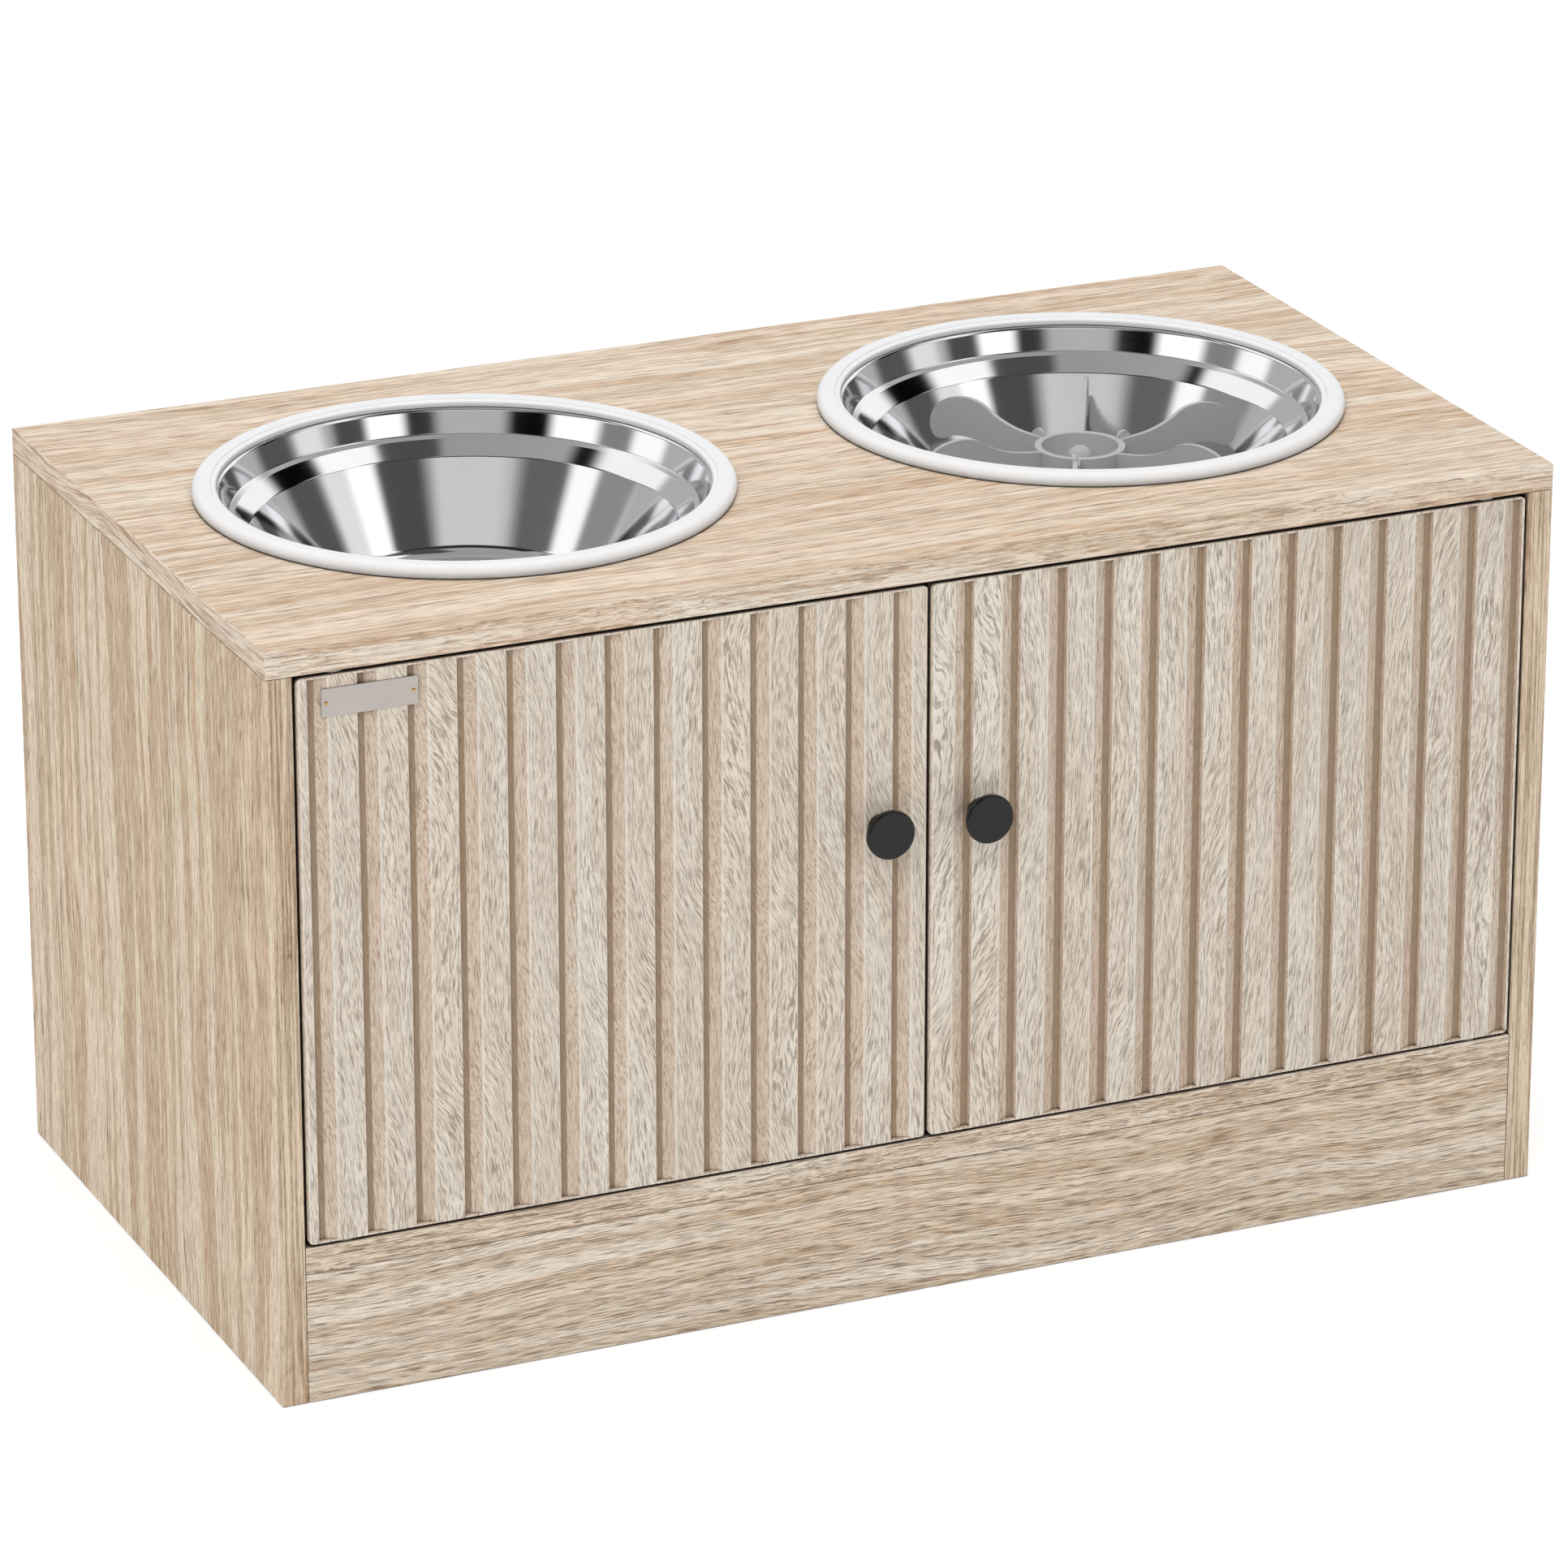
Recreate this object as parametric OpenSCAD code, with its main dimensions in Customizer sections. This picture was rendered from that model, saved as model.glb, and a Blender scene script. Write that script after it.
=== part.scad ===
// Raised feeding station for a dog: a small oak-finish cabinet with two fluted
// doors, two lift-out steel bowls in its top and a slow-feed insert in one bowl.
// +X right, +Y back, +Z up. Origin: floor level, under the middle of the object
// (knobs included), so the cabinet itself sits half a knob length behind it.

/* [Cabinet] */
// Overall width of the cabinet
cab_w = 600; // [560:1:720]
// Overall depth of the cabinet, without the knobs
cab_d = 320; // [290:1:400]
// Overall height to the top of the top board
cab_h = 340; // [260:1:460]
// Thickness of the top, the sides, the shelf and the plinth
board_t = 12; // [12:0.2:18]
// Height of the plinth board under the shelf
plinth_h = 59.5; // [40:0.5:90]
// Softened edge of the boards
arris = 0.8; // [0.2:0.1:1.5]
// Thickness of the back panel
back_t = 3; // [2.5:0.5:5]
// Distance from the cabinet's rear edge to the back panel's groove
back_inset = 10; // [6:0.5:20]
// Depth of the groove that holds the back panel
groove_depth = 5; // [3:0.5:7]

/* [Doors] */
// Thickness of a door
door_t = 15; // [14:0.5:20]
// Gap round each door
door_gap = 1.5; // [1.5:0.1:3]
// Corner radius at a door's upright edges
door_edge_r = 1.5; // [1.5:0.1:3]
// Radius of a door's four corners, seen from the front
door_corner_r = 2.5; // [1:0.1:6]
// Distance from a door's outer edge to its pivot
pivot_in = 18; // [16:0.5:30]
// Distance from a door's front face to its pivot
pivot_back = 7.5; // [6.5:0.1:8]
// Spacing of the flutes
flute_pitch = 22.05; // [16:0.05:30]
// Depth of a flute
flute_depth = 2.5; // [1:0.1:3.5]
// Width of the flat at the bottom of a flute
flute_floor = 3; // [2:0.1:4]
// Width of the sloping side of a flute
flute_slope = 6.2; // [4:0.1:9]
// Plain strip across the door at both ends of the flutes
flute_stop = 0.8; // [0.5:0.1:20]
// Plain margin outside the first flute of the left door
left_margin = 4.8; // [2:0.1:12]
// Plain margin outside the first flute of the right door
right_margin = 1.2; // [1:0.1:12]

/* [Knobs] */
// Distance between the two knobs
knob_spacing = 46.5; // [40:0.5:120]
// Height of the knobs above the floor
knob_z = 221; // [150:1:300]
// Diameter of a knob's face
knob_d = 22; // [18:0.5:30]
// How far a knob stands out from its door
knob_out = 13; // [12.5:0.5:24]
// Diameter of a knob's waist
knob_neck_d = 8; // [7.5:0.5:12]
// Thickness of a knob's face
knob_face_t = 3; // [2.5:0.1:5]

/* [Bowls] */
// Distance between the two bowls' centres
bowl_pitch = 296; // [290:1:330]
// Inside radius at a bowl's mouth
bowl_r = 105.9; // [85:0.1:112]
// Inside depth of a bowl below the top board's upper face
bowl_depth = 55; // [48:0.5:70]
// Thickness of the bowls' steel
steel_t = 0.8; // [0.6:0.1:1.2]
// Clearance between a bowl and its cut-out
bowl_clear = 1.2; // [0.8:0.1:3]
// Width of the soft ring round a bowl's rim
ring_w = 10.7; // [9:0.1:14]
// Height of the soft ring above the top board
ring_h = 6; // [5:0.1:8]
// Drop of the soft ring's inner step
ring_step = 0.9; // [0.4:0.1:1.5]

/* [Slow-feed insert] */
// Outside radius of the hub
hub_r = 20.3; // [16:0.1:26]
// Wall thickness of the hub
hub_wall = 3; // [2:0.1:4]
// Depth of the hub's top below the top board's upper face
hub_drop = 20; // [12:0.5:26]
// Inside depth of the hub
hub_cup = 10; // [8:0.5:13]
// Thickness of the hub's floor
hub_floor = 2.5; // [1.5:0.1:3.5]
// Number of fins
fin_count = 6; // [3:1:8]
// Thickness of a fin
fin_t = 2.2; // [1.5:0.1:3]
// Gap between a fin's tip and the bowl's wall
fin_gap = 8.7; // [4:0.1:20]
// Radius of the suction cup's foot
cup_r = 21; // [16:0.5:30]
// Turn of the insert in its bowl
insert_turn = 2; // [-30:1:30]

/* [Fittings] */
// Diameter of the doors' pivot pins
pin_d = 5; // [4:0.5:6]
// Diameter of the cam fasteners' housings
cam_d = 12; // [10:0.5:15]
// Distance from a joint to its cam's centre
cam_reach = 24; // [20:1:34]
// Diameter of the cam bolts' shanks
cam_bolt_d = 4; // [3:0.5:5]
// Diameter of the wooden dowels
dowel_d = 6; // [5:0.5:8]
// Running clearance of the door pins, on the radius
run_clear = 0.08; // [0.02:0.01:0.1]
// Clearance of fixed pieces in their holes and slots
fix_clear = 0.15; // [0.1:0.05:0.3]
// Clearance between faces that meet across a joint
face_clear = 0.3; // [0.3:0.1:0.6]

/* [Hidden] */
$fn = 96;

// Cabinet faces
front_y = (knob_out - cab_d) / 2;
back_y = front_y + cab_d;
mid_y = (front_y + back_y) / 2;
inner_x = cab_w / 2 - board_t;
top_z = cab_h - board_t;
shelf_top = plinth_h + board_t;
back_panel_y = back_y - back_inset - back_t;
oak = [0.84, 0.76, 0.66];
door_oak = [0.80, 0.74, 0.67];

// How far a cut runs past the face it opens, and the room past a rod's end
over = 1;
end_room = 0.5;

// Joints between the boards: insets from the cabinet's front and back, cam
// housings and bolts, and dowels
cam_inset = 60;
dowel_inset = 28;
plinth_dowel_z = plinth_h / 2 - 17;
cam_depth = board_t / 2 + 3.5;
cam_slot = [2.4, 1.3, 0.6 * cam_d];
thread_in = board_t - 4;
bolt_head_r = cam_bolt_d / 2 + 0.9;
bolt_thread_r = cam_bolt_d / 2 + 0.5;
bolt_head_half = 1.5;
dowel_in = board_t - 5;
dowel_out = 18;
dowel_tip = 1;

// Doors
door_w = inner_x - 1.5 * door_gap;
door_z0 = shelf_top + door_gap;
door_z1 = top_z - door_gap;
pivot_x = inner_x - door_gap - pivot_in;
pivot_y = front_y + pivot_back;
flute_w = flute_floor + flute_slope;
flute_draft = 0.35;
flute_corner = 0.4;
flute_soft = 3;
flute_clear = 2.2;
pin_out = door_gap + board_t / 2;
pin_in = 14;
pin_tip = 0.6;

// Pivot bushings
bush_d = pin_d + 3;
bush_flange_d = bush_d + 3;
bush_flange_t = door_gap - face_clear;
bush_depth = board_t / 2 + 2;
bush_floor = 1;

// Catch behind the doors' upper inner corners
strike = [15, 1.5, 14];
strike_corner = 2;
strike_head = 1;
strike_sink = 1.2;
sink_over = 0.2;
strike_screw_in = 8.5;
strike_x = 13;
strike_z = top_z - 11;
catch_size = [50, 14, 15];
catch_corner = 2.5;
catch_nose = 3;
catch_proud = 0.5;
catch_screw_x = 4.5;
catch_screw_y = 8.7;
catch_screw_head = 4;
catch_screw_in = 6.5;
catch_y = front_y + door_t + strike[1] + face_clear + catch_proud;
magnet = [13, 9, 4];
screw_d = 3;
screw_head_d = 6;
screw_head_t = 2;
driver = [0.8, 3.2, 1.8];

// Knobs
knob_x = knob_spacing / 2;
knob_base_d = knob_neck_d + 3;
knob_base_t = 1.4;
knob_rim = 1;
knob_screw_d = 4;
knob_screw_in = 8.5;
knob_screw_head = 2.4;
knob_hole_clear = 0.25;

// Bowls, as radii and heights from the top board's upper face
band_r = bowl_r - 3.9;
band_z = -8.5;
shoulder_r = band_r - 9;
shoulder_z = -16;
wall_lean = 0.594;
base_r = shoulder_r - wall_lean * (bowl_depth + shoulder_z);
cut_r = bowl_r + steel_t + bowl_clear;
lip_r = bowl_r + 7.9;
lip_z = 2.2;
ring_in = bowl_r + 1.4;
ring_out = ring_in + ring_w;
ring_foot = ring_in + 1.4;
disc_r = base_r - 17;
disc_rise = 0.5;
ledge = [2.4, 1.3];
lip_round = 2;
band_round = 1.2;
ledge_round = 0.9;
shoulder_round = 3;
base_round = 9;
ring_step_w = 2.5;

// Slow-feed insert, in the same heights
hub_top = -hub_drop;
hub_base = hub_top - hub_cup - hub_floor;
hub_hole_r = 4.1;
fin_tip_z = hub_top - 4;
fin_reach = shoulder_r + wall_lean * (fin_tip_z - shoulder_z) - fin_gap;
button_r = 5.9;
lug_r = 3.2;
lug_t = 1.8;
lug_sunk = 0.6;
lug_bite = 0.3;
button_rise = 4;
stem_end = 0.5;
cup_neck_r = 8.5;
cup_neck_h = 5;
cup_dome = 4;
cup_lip = 3;

// Shapes of points

function unit(v) = v / norm(v);

// The arc that rounds corner b between a and c; b's third number is the radius
function rounded_corner(a, b, c, steps) =
    let (p = [b[0], b[1]], u = unit([a[0], a[1]] - p), v = unit([c[0], c[1]] - p),
        half = acos(max(-1, min(1, u * v))) / 2)
    b[2] <= 0 || half > 89 ? [p] :
    let (centre = p + unit(u + v) * b[2] / sin(half),
        start = p + u * b[2] / tan(half) - centre,
        end = p + v * b[2] / tan(half) - centre,
        from = atan2(start[1], start[0]), turn = atan2(end[1], end[0]) - from,
        sweep = turn > 180 ? turn - 360 : turn < -180 ? turn + 360 : turn)
    [for (i = [0:steps]) centre + b[2] * [cos(from + sweep * i / steps), sin(from + sweep * i / steps)]];

// A closed outline of [x, y, corner radius] points
function rounded(pts, steps = 4) = let (n = len(pts))
    [for (i = [0:n - 1]) each rounded_corner(pts[(i + n - 1) % n], pts[i], pts[(i + 1) % n], steps)];

// An open line of [x, y, corner radius] points
function rounded_line(pts, steps = 4) = let (n = len(pts))
    [for (i = [0:n - 1]) each i == 0 || i == n - 1 ? [[pts[i][0], pts[i][1]]] :
        rounded_corner(pts[i - 1], pts[i], pts[i + 1], steps)];

function left_of(d) = [-d[1], d[0]];

// The same line moved t to its left, mitred at its corners
function beside(line, t) = let (n = len(line))
    [for (i = [0:n - 1])
        let (before = left_of(unit(line[max(i, 1)] - line[max(i, 1) - 1])),
            after = left_of(unit(line[min(i, n - 2) + 1] - line[min(i, n - 2)])),
            m = unit(before + after))
        line[i] + m * t / (m * before)];

function backwards(list) = [for (i = [len(list) - 1:-1:0]) list[i]];

// A smooth line through the points
function spline(pts, steps = 4) = let (n = len(pts)) concat(
    [for (i = [0:n - 2], j = [0:steps - 1])
        let (a = pts[max(i - 1, 0)], b = pts[i], c = pts[i + 1], d = pts[min(i + 2, n - 1)], t = j / steps)
        (2 * b + (c - a) * t + (2 * a - 5 * b + 4 * c - d) * t * t + (3 * b - a - 3 * c + d) * t * t * t) / 2],
    [pts[n - 1]]);

// Shared shapes

function soft_rect(lo, hi) = rounded([[lo[0], lo[1], arris], [hi[0], lo[1], arris],
    [hi[0], hi[1], arris], [lo[0], hi[1], arris]], 3);

// A board between two corners, with its edges softened
module board(lo, hi) {
    intersection() {
        translate([0, 0, lo[2]])
            linear_extrude(hi[2] - lo[2]) polygon(soft_rect([lo[0], lo[1]], [hi[0], hi[1]]));
        translate([0, hi[1], 0]) rotate([90, 0, 0])
            linear_extrude(hi[1] - lo[1]) polygon(soft_rect([lo[0], lo[2]], [hi[0], hi[2]]));
        translate([lo[0], 0, 0]) rotate([90, 0, 90])
            linear_extrude(hi[0] - lo[0]) polygon(soft_rect([lo[1], lo[2]], [hi[1], hi[2]]));
    }
}

module block(lo, hi) {
    translate(lo) cube(hi - lo);
}

module both_sides() {
    children();
    mirror([1, 0, 0]) children();
}

// A rod between two heights on the Z axis
module rod(z0, z1, r) {
    translate([0, 0, z0]) cylinder(h = z1 - z0, r = r);
}

// Where the boards join. Each frame has its origin on the meeting faces, +Z into
// the board that takes the bolt and +X towards the face that shows the cam.

module side_to_top(inset) {
    both_sides() for (y = [front_y + inset, back_y - inset])
        translate([-inner_x - board_t / 2, y, top_z]) children();
}

module shelf_to_side(inset) {
    both_sides() for (y = [front_y + inset, back_y - inset])
        translate([-inner_x, y, plinth_h + board_t / 2]) rotate([0, -90, 0]) rotate([0, 0, 180]) children();
}

module plinth_to_side(z) {
    both_sides() translate([-inner_x, front_y + board_t / 2, z]) rotate([0, -90, 0]) rotate([0, 0, 90]) children();
}

module at_cams() {
    side_to_top(cam_inset) children();
    shelf_to_side(cam_inset) children();
    plinth_to_side(plinth_h / 2) children();
}

module at_dowels() {
    side_to_top(dowel_inset) children();
    shelf_to_side(dowel_inset) children();
    plinth_to_side(plinth_dowel_z) children();
}

module cam_bolt() {
    rod(0, thread_in, bolt_thread_r);
    rod(-cam_reach, 0, cam_bolt_d / 2);
    rod(-cam_reach - bolt_head_half, -cam_reach + bolt_head_half, bolt_head_r);
}

// The cam's round body, grown by a clearance and standing proud of the face
module cam_body(grow, proud) {
    translate([board_t / 2 - cam_depth - grow, 0, -cam_reach]) rotate([0, 90, 0])
        cylinder(h = cam_depth + grow + proud, d = cam_d + 2 * grow);
}

module cam_nut() {
    difference() {
        cam_body(0, 0);
        rod(-cam_reach - bolt_head_half - over, 0, bolt_head_r + fix_clear);
        for (a = [0, 90])
            translate([board_t / 2, 0, -cam_reach]) rotate([a, 0, 0]) cube(cam_slot, center = true);
    }
}

module joint_holes() {
    at_cams() {
        rod(-cam_reach, 0, bolt_head_r + fix_clear);
        rod(-over, thread_in + fix_clear, bolt_thread_r + fix_clear);
        cam_body(fix_clear, over);
    }
    at_dowels() rod(-dowel_out - end_room, dowel_in + end_room, dowel_d / 2 + fix_clear);
}

module at_pivots() {
    both_sides() {
        translate([-pivot_x, pivot_y, top_z]) children();
        translate([-pivot_x, pivot_y, shelf_top]) mirror([0, 0, 1]) children();
    }
}

module at_catch_screws() {
    for (side = [-1, 1])
        translate([side * catch_screw_x, catch_y + catch_screw_y, top_z]) children();
}

// The panel's slot, cut into every board round it
module back_groove() {
    block([-inner_x - groove_depth, back_panel_y - fix_clear, shelf_top - groove_depth],
        [inner_x + groove_depth, back_panel_y + back_t + fix_clear, top_z + groove_depth]);
}

// Cabinet

module top_board() color(oak) difference() {
    board([-cab_w / 2, front_y, top_z], [cab_w / 2, back_y, cab_h]);
    for (side = [-1, 1])
        translate([side * bowl_pitch / 2, mid_y, 0]) rod(top_z - over, cab_h + over, cut_r);
    joint_holes();
    back_groove();
    at_pivots() rod(-over, bush_depth + fix_clear, bush_d / 2 + fix_clear);
    at_catch_screws() rod(-over, catch_screw_in + end_room, screw_d / 2);
}

module left_side_panel() color(oak) difference() {
    board([-cab_w / 2, front_y, 0], [-inner_x, back_y, top_z]);
    joint_holes();
    back_groove();
}

module right_side_panel() mirror([1, 0, 0]) left_side_panel();

module bottom_shelf() color(oak) difference() {
    board([-inner_x, front_y, plinth_h], [inner_x, back_y, shelf_top]);
    joint_holes();
    back_groove();
    at_pivots() rod(-over, bush_depth + fix_clear, bush_d / 2 + fix_clear);
}

module plinth_board() color(oak) difference() {
    board([-inner_x, front_y, 0], [inner_x, front_y + board_t, plinth_h]);
    joint_holes();
}

module back_panel() color([0.80, 0.72, 0.62]) {
    reach = groove_depth - end_room;
    block([-inner_x - reach, back_panel_y, shelf_top - reach],
        [inner_x + reach, back_panel_y + back_t, top_z + reach]);
}

module cam_nuts() color([0.72, 0.73, 0.75]) at_cams() cam_nut();

module cam_bolts() color([0.75, 0.76, 0.78]) at_cams() cam_bolt();

module wood_dowels() color([0.86, 0.76, 0.58]) at_dowels() {
    rod(-dowel_out + dowel_tip, dowel_in - dowel_tip, dowel_d / 2);
    translate([0, 0, dowel_in - dowel_tip])
        cylinder(h = dowel_tip, r1 = dowel_d / 2, r2 = dowel_d / 2 - dowel_tip);
    translate([0, 0, -dowel_out]) cylinder(h = dowel_tip, r1 = dowel_d / 2 - dowel_tip, r2 = dowel_d / 2);
}

module pivot_bushings() color([0.93, 0.93, 0.91]) at_pivots() difference() {
    union() {
        rod(-bush_flange_t, 0, bush_flange_d / 2);
        rod(0, bush_depth, bush_d / 2);
    }
    rod(-bush_flange_t - over, bush_depth - bush_floor, pin_d / 2 + run_clear);
}

// Magnetic catch

module catch_housing() color([0.90, 0.90, 0.89]) difference() {
    translate([0, catch_y + catch_size[1] / 2, 0]) intersection() {
        translate([0, 0, top_z - catch_size[2]]) linear_extrude(catch_size[2])
            polygon(rounded([for (c = [[-1, -1], [1, -1], [1, 1], [-1, 1]])
                [c[0] * catch_size[0] / 2, c[1] * catch_size[1] / 2, catch_corner]]));
        translate([0, catch_size[1] / 2, 0]) rotate([90, 0, 0]) linear_extrude(catch_size[1])
            polygon(rounded([[-catch_size[0] / 2, top_z, 0], [-catch_size[0] / 2, top_z - catch_size[2], catch_nose],
                [catch_size[0] / 2, top_z - catch_size[2], catch_nose], [catch_size[0] / 2, top_z, 0]]));
    }
    at_magnets() magnet_block(fix_clear);
    at_catch_screws() {
        rod(-catch_size[2] - over, over, screw_d / 2 + fix_clear);
        rod(-catch_size[2] - over, -catch_screw_head, screw_head_d / 2 + fix_clear);
    }
}

module at_magnets() {
    for (side = [-1, 1])
        translate([side * strike_x, catch_y - catch_proud, strike_z]) children();
}

module magnet_block(grow) {
    translate([-magnet[0] / 2 - grow, 0, -magnet[2] / 2 - grow])
        cube([magnet[0] + 2 * grow, magnet[1] + grow, magnet[2] + 2 * grow]);
}

module catch_magnets() color([0.30, 0.30, 0.32]) at_magnets() magnet_block(0);

module catch_screws() color([0.76, 0.77, 0.79]) at_catch_screws() difference() {
    union() {
        rod(-catch_screw_head, catch_screw_in, screw_d / 2 - fix_clear);
        rod(-catch_screw_head - screw_head_t, -catch_screw_head, screw_head_d / 2);
    }
    driver_cross(-catch_screw_head - screw_head_t);
}

// The recess for a screwdriver, in a head whose face is at height z
module driver_cross(z) {
    for (a = [0, 90]) translate([0, 0, z]) rotate([0, 0, a]) cube(driver, center = true);
}

// Doors: each is modelled as the left one, from its outer edge along +X and from
// its front face along +Y, and the right one is its mirror image

// One flute, from its upright side to the soft edge of its slope
function flute(x) = [[x, 0, flute_corner], [x + flute_draft, flute_depth, flute_corner],
    [x + flute_floor, flute_depth, flute_corner], [x + flute_w, 0, flute_soft]];

function flute_starts(margin) = [for (x = [margin:flute_pitch:door_w - flute_w - flute_clear]) x];

function door_with(margin, front) = rounded(concat([[0, 0, min(door_edge_r, margin / 2)]], front,
    [[door_w, 0, door_edge_r], [door_w, door_t, door_edge_r], [0, door_t, door_edge_r]]), 3);

function door_outline(margin) = door_with(margin, [for (x = flute_starts(margin)) each flute(x)]);

function plain_outline(margin) = door_with(margin, []);

module at_left_door() {
    translate([-pivot_x - pivot_in, front_y, 0]) children();
}

module at_door_ends() {
    translate([pivot_in, pivot_back, door_z1]) children();
    translate([pivot_in, pivot_back, door_z0]) mirror([0, 0, 1]) children();
}

// A slice of a door between two heights, from its outline
module door_slice(outline, z0, z1) {
    translate([0, 0, z0]) linear_extrude(z1 - z0) polygon(outline);
}

module door_blank(margin) difference() {
    intersection() {
        union() {
            door_slice(door_outline(margin), door_z0 + flute_stop, door_z1 - flute_stop);
            door_slice(plain_outline(margin), door_z0, door_z0 + flute_stop);
            door_slice(plain_outline(margin), door_z1 - flute_stop, door_z1);
        }
        translate([0, door_t, 0]) rotate([90, 0, 0]) linear_extrude(door_t) polygon(rounded(
            [for (c = [[0, door_z0], [door_w, door_z0], [door_w, door_z1], [0, door_z1]])
                [c[0], c[1], door_corner_r]]));
    }
    at_door_ends() rod(-pin_in - end_room, over, pin_d / 2 + fix_clear);
    at_door_knob() rotate([-90, 0, 0]) rod(-over, door_t + over, knob_screw_d / 2 + knob_hole_clear);
    at_door_strike() rotate([90, 0, 0]) rod(-over, strike_screw_in + end_room, screw_d / 2);
}

module at_door_knob() {
    translate([pivot_x + pivot_in - knob_x, 0, knob_z]) children();
}

module at_door_strike() {
    translate([pivot_x + pivot_in - strike_x, door_t, strike_z]) children();
}

module door_pins() color([0.74, 0.75, 0.77]) at_door_ends() {
    rod(-pin_in, pin_out - pin_tip, pin_d / 2);
    translate([0, 0, pin_out - pin_tip]) cylinder(h = pin_tip, r1 = pin_d / 2, r2 = pin_d / 2 - pin_tip);
}

// Knob outline, as radius, distance out from the door and corner radius
knob_back = knob_out - knob_face_t;
knob_outline = rounded([[0, 0, 0], [knob_base_d / 2, 0, knob_rim / 2], [knob_base_d / 2, knob_base_t, knob_rim / 2],
    [knob_neck_d / 2, knob_back * 0.34, 2], [knob_neck_d / 2, knob_back * 0.66, 3],
    [knob_d / 2, knob_back, knob_rim], [knob_d / 2, knob_out, knob_rim], [0, knob_out, 0]], 5);

module knob() color([0.10, 0.10, 0.11]) at_door_knob() rotate([90, 0, 0]) difference() {
    rotate_extrude() polygon(knob_outline);
    rod(-over, knob_screw_in + end_room, knob_screw_d / 2 + fix_clear);
}

module knob_screw() color([0.76, 0.77, 0.79]) at_door_knob() rotate([90, 0, 0]) difference() {
    union() {
        rod(-door_t, knob_screw_in, knob_screw_d / 2);
        translate([0, 0, -door_t]) mirror([0, 0, 1]) rotate_extrude()
            polygon(rounded([[0, 0, 0], [knob_screw_d, 0, knob_screw_head / 8],
                [knob_screw_d, knob_screw_head, knob_screw_head / 2], [0, knob_screw_head, 0]]));
    }
    driver_cross(-door_t - knob_screw_head);
}

module strike_plate() color([0.78, 0.79, 0.81]) at_door_strike() rotate([-90, 0, 0]) difference() {
    linear_extrude(strike[1]) polygon(rounded([for (c = [[-1, -1], [1, -1], [1, 1], [-1, 1]])
        [c[0] * strike[0] / 2, c[1] * strike[2] / 2, strike_corner]]));
    rod(-over, strike[1] + over, screw_d / 2 + fix_clear);
    translate([0, 0, strike[1] - strike_sink])
        cylinder(h = strike_sink + sink_over, r1 = screw_d / 2 + fix_clear, r2 = screw_head_d / 2);
}

module strike_screw() color([0.76, 0.77, 0.79]) at_door_strike() rotate([-90, 0, 0]) difference() {
    union() {
        rod(-strike_screw_in, strike[1] - strike_head, screw_d / 2 - fix_clear);
        translate([0, 0, strike[1] - strike_head])
            cylinder(h = strike_head, r1 = screw_d / 2 - fix_clear, r2 = 0.4 * screw_head_d);
    }
    driver_cross(strike[1]);
}

module left_door() color(door_oak) at_left_door() door_blank(left_margin);

module right_door() color(door_oak) mirror([1, 0, 0]) at_left_door() door_blank(right_margin);

module left_door_pins() at_left_door() door_pins();

module right_door_pins() mirror([1, 0, 0]) left_door_pins();

module left_knob() at_left_door() knob();

module right_knob() mirror([1, 0, 0]) left_knob();

module left_knob_screw() at_left_door() knob_screw();

module right_knob_screw() mirror([1, 0, 0]) left_knob_screw();

module left_strike_plate() at_left_door() strike_plate();

module right_strike_plate() mirror([1, 0, 0]) left_strike_plate();

module left_strike_screw() at_left_door() strike_screw();

module right_strike_screw() mirror([1, 0, 0]) left_strike_screw();

// Bowls. Their outlines are radii, heights from the top board's upper face and
// corner radii.

bowl_line = rounded_line([[lip_r, lip_z, 0], [bowl_r + steel_t, lip_z, lip_round],
    [band_r, band_z, band_round], [band_r - ledge[0], band_z - ledge[1], ledge_round],
    [shoulder_r, shoulder_z, shoulder_round], [base_r, -bowl_depth, base_round],
    [disc_r + 2 * disc_rise, -bowl_depth, ledge_round], [disc_r, disc_rise - bowl_depth, ledge_round],
    [0, disc_rise - bowl_depth, 0]], 6);

// From the foot over the round outer side and the crown, down the inner step and
// round the groove that grips the bowl's lip
groove_r = lip_r + fix_clear;
groove_top = lip_z + fix_clear;
groove_foot = lip_z - steel_t - fix_clear;
ring_outline = rounded([[ring_foot, 0, 0.3], [ring_out - 0.3, 0, 1.6], [ring_out, ring_h * 0.45, 2.5],
    [ring_out - 1.2, ring_h, 3.2], [ring_in + ring_step_w, ring_h - 0.1, 0.5],
    [ring_in + ring_step_w - 0.2, ring_h - ring_step, 0.2], [ring_in, ring_h - ring_step - 0.2, 1],
    [ring_in, groove_top, 0.3], [groove_r, groove_top, 0.2], [groove_r, groove_foot, 0.2],
    [ring_foot, groove_foot, 0.3]], 6);

module at_bowl(side) {
    translate([side * bowl_pitch / 2, mid_y, cab_h]) children();
}

module bowl() color([0.80, 0.81, 0.83]) rotate_extrude()
    polygon(concat(bowl_line, backwards(beside(bowl_line, steel_t))));

module bowl_ring() color([0.93, 0.93, 0.94]) rotate_extrude() polygon(ring_outline);

module plain_bowl() at_bowl(-1) bowl();

module plain_bowl_ring() at_bowl(-1) bowl_ring();

module feeder_bowl() at_bowl(1) bowl();

module feeder_bowl_ring() at_bowl(1) bowl_ring();

// Slow-feed insert

// A fin's edge from the hub's top over its lobe and back underneath: each point
// is its share of the way from hub to tip and its height above the hub's top
fin_edge = [[0, -0.2], [0.23, 1.6], [0.41, 5.4], [0.54, 10], [0.69, 11.4], [0.85, 9.3], [0.96, 4],
    [1, -3.5], [0.962, -9.2], [0.88, -10], [0.775, -7.5], [0.62, -7.2], [0.49, -9.6], [0.42, -9.9], [0, -9.9]];

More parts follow.
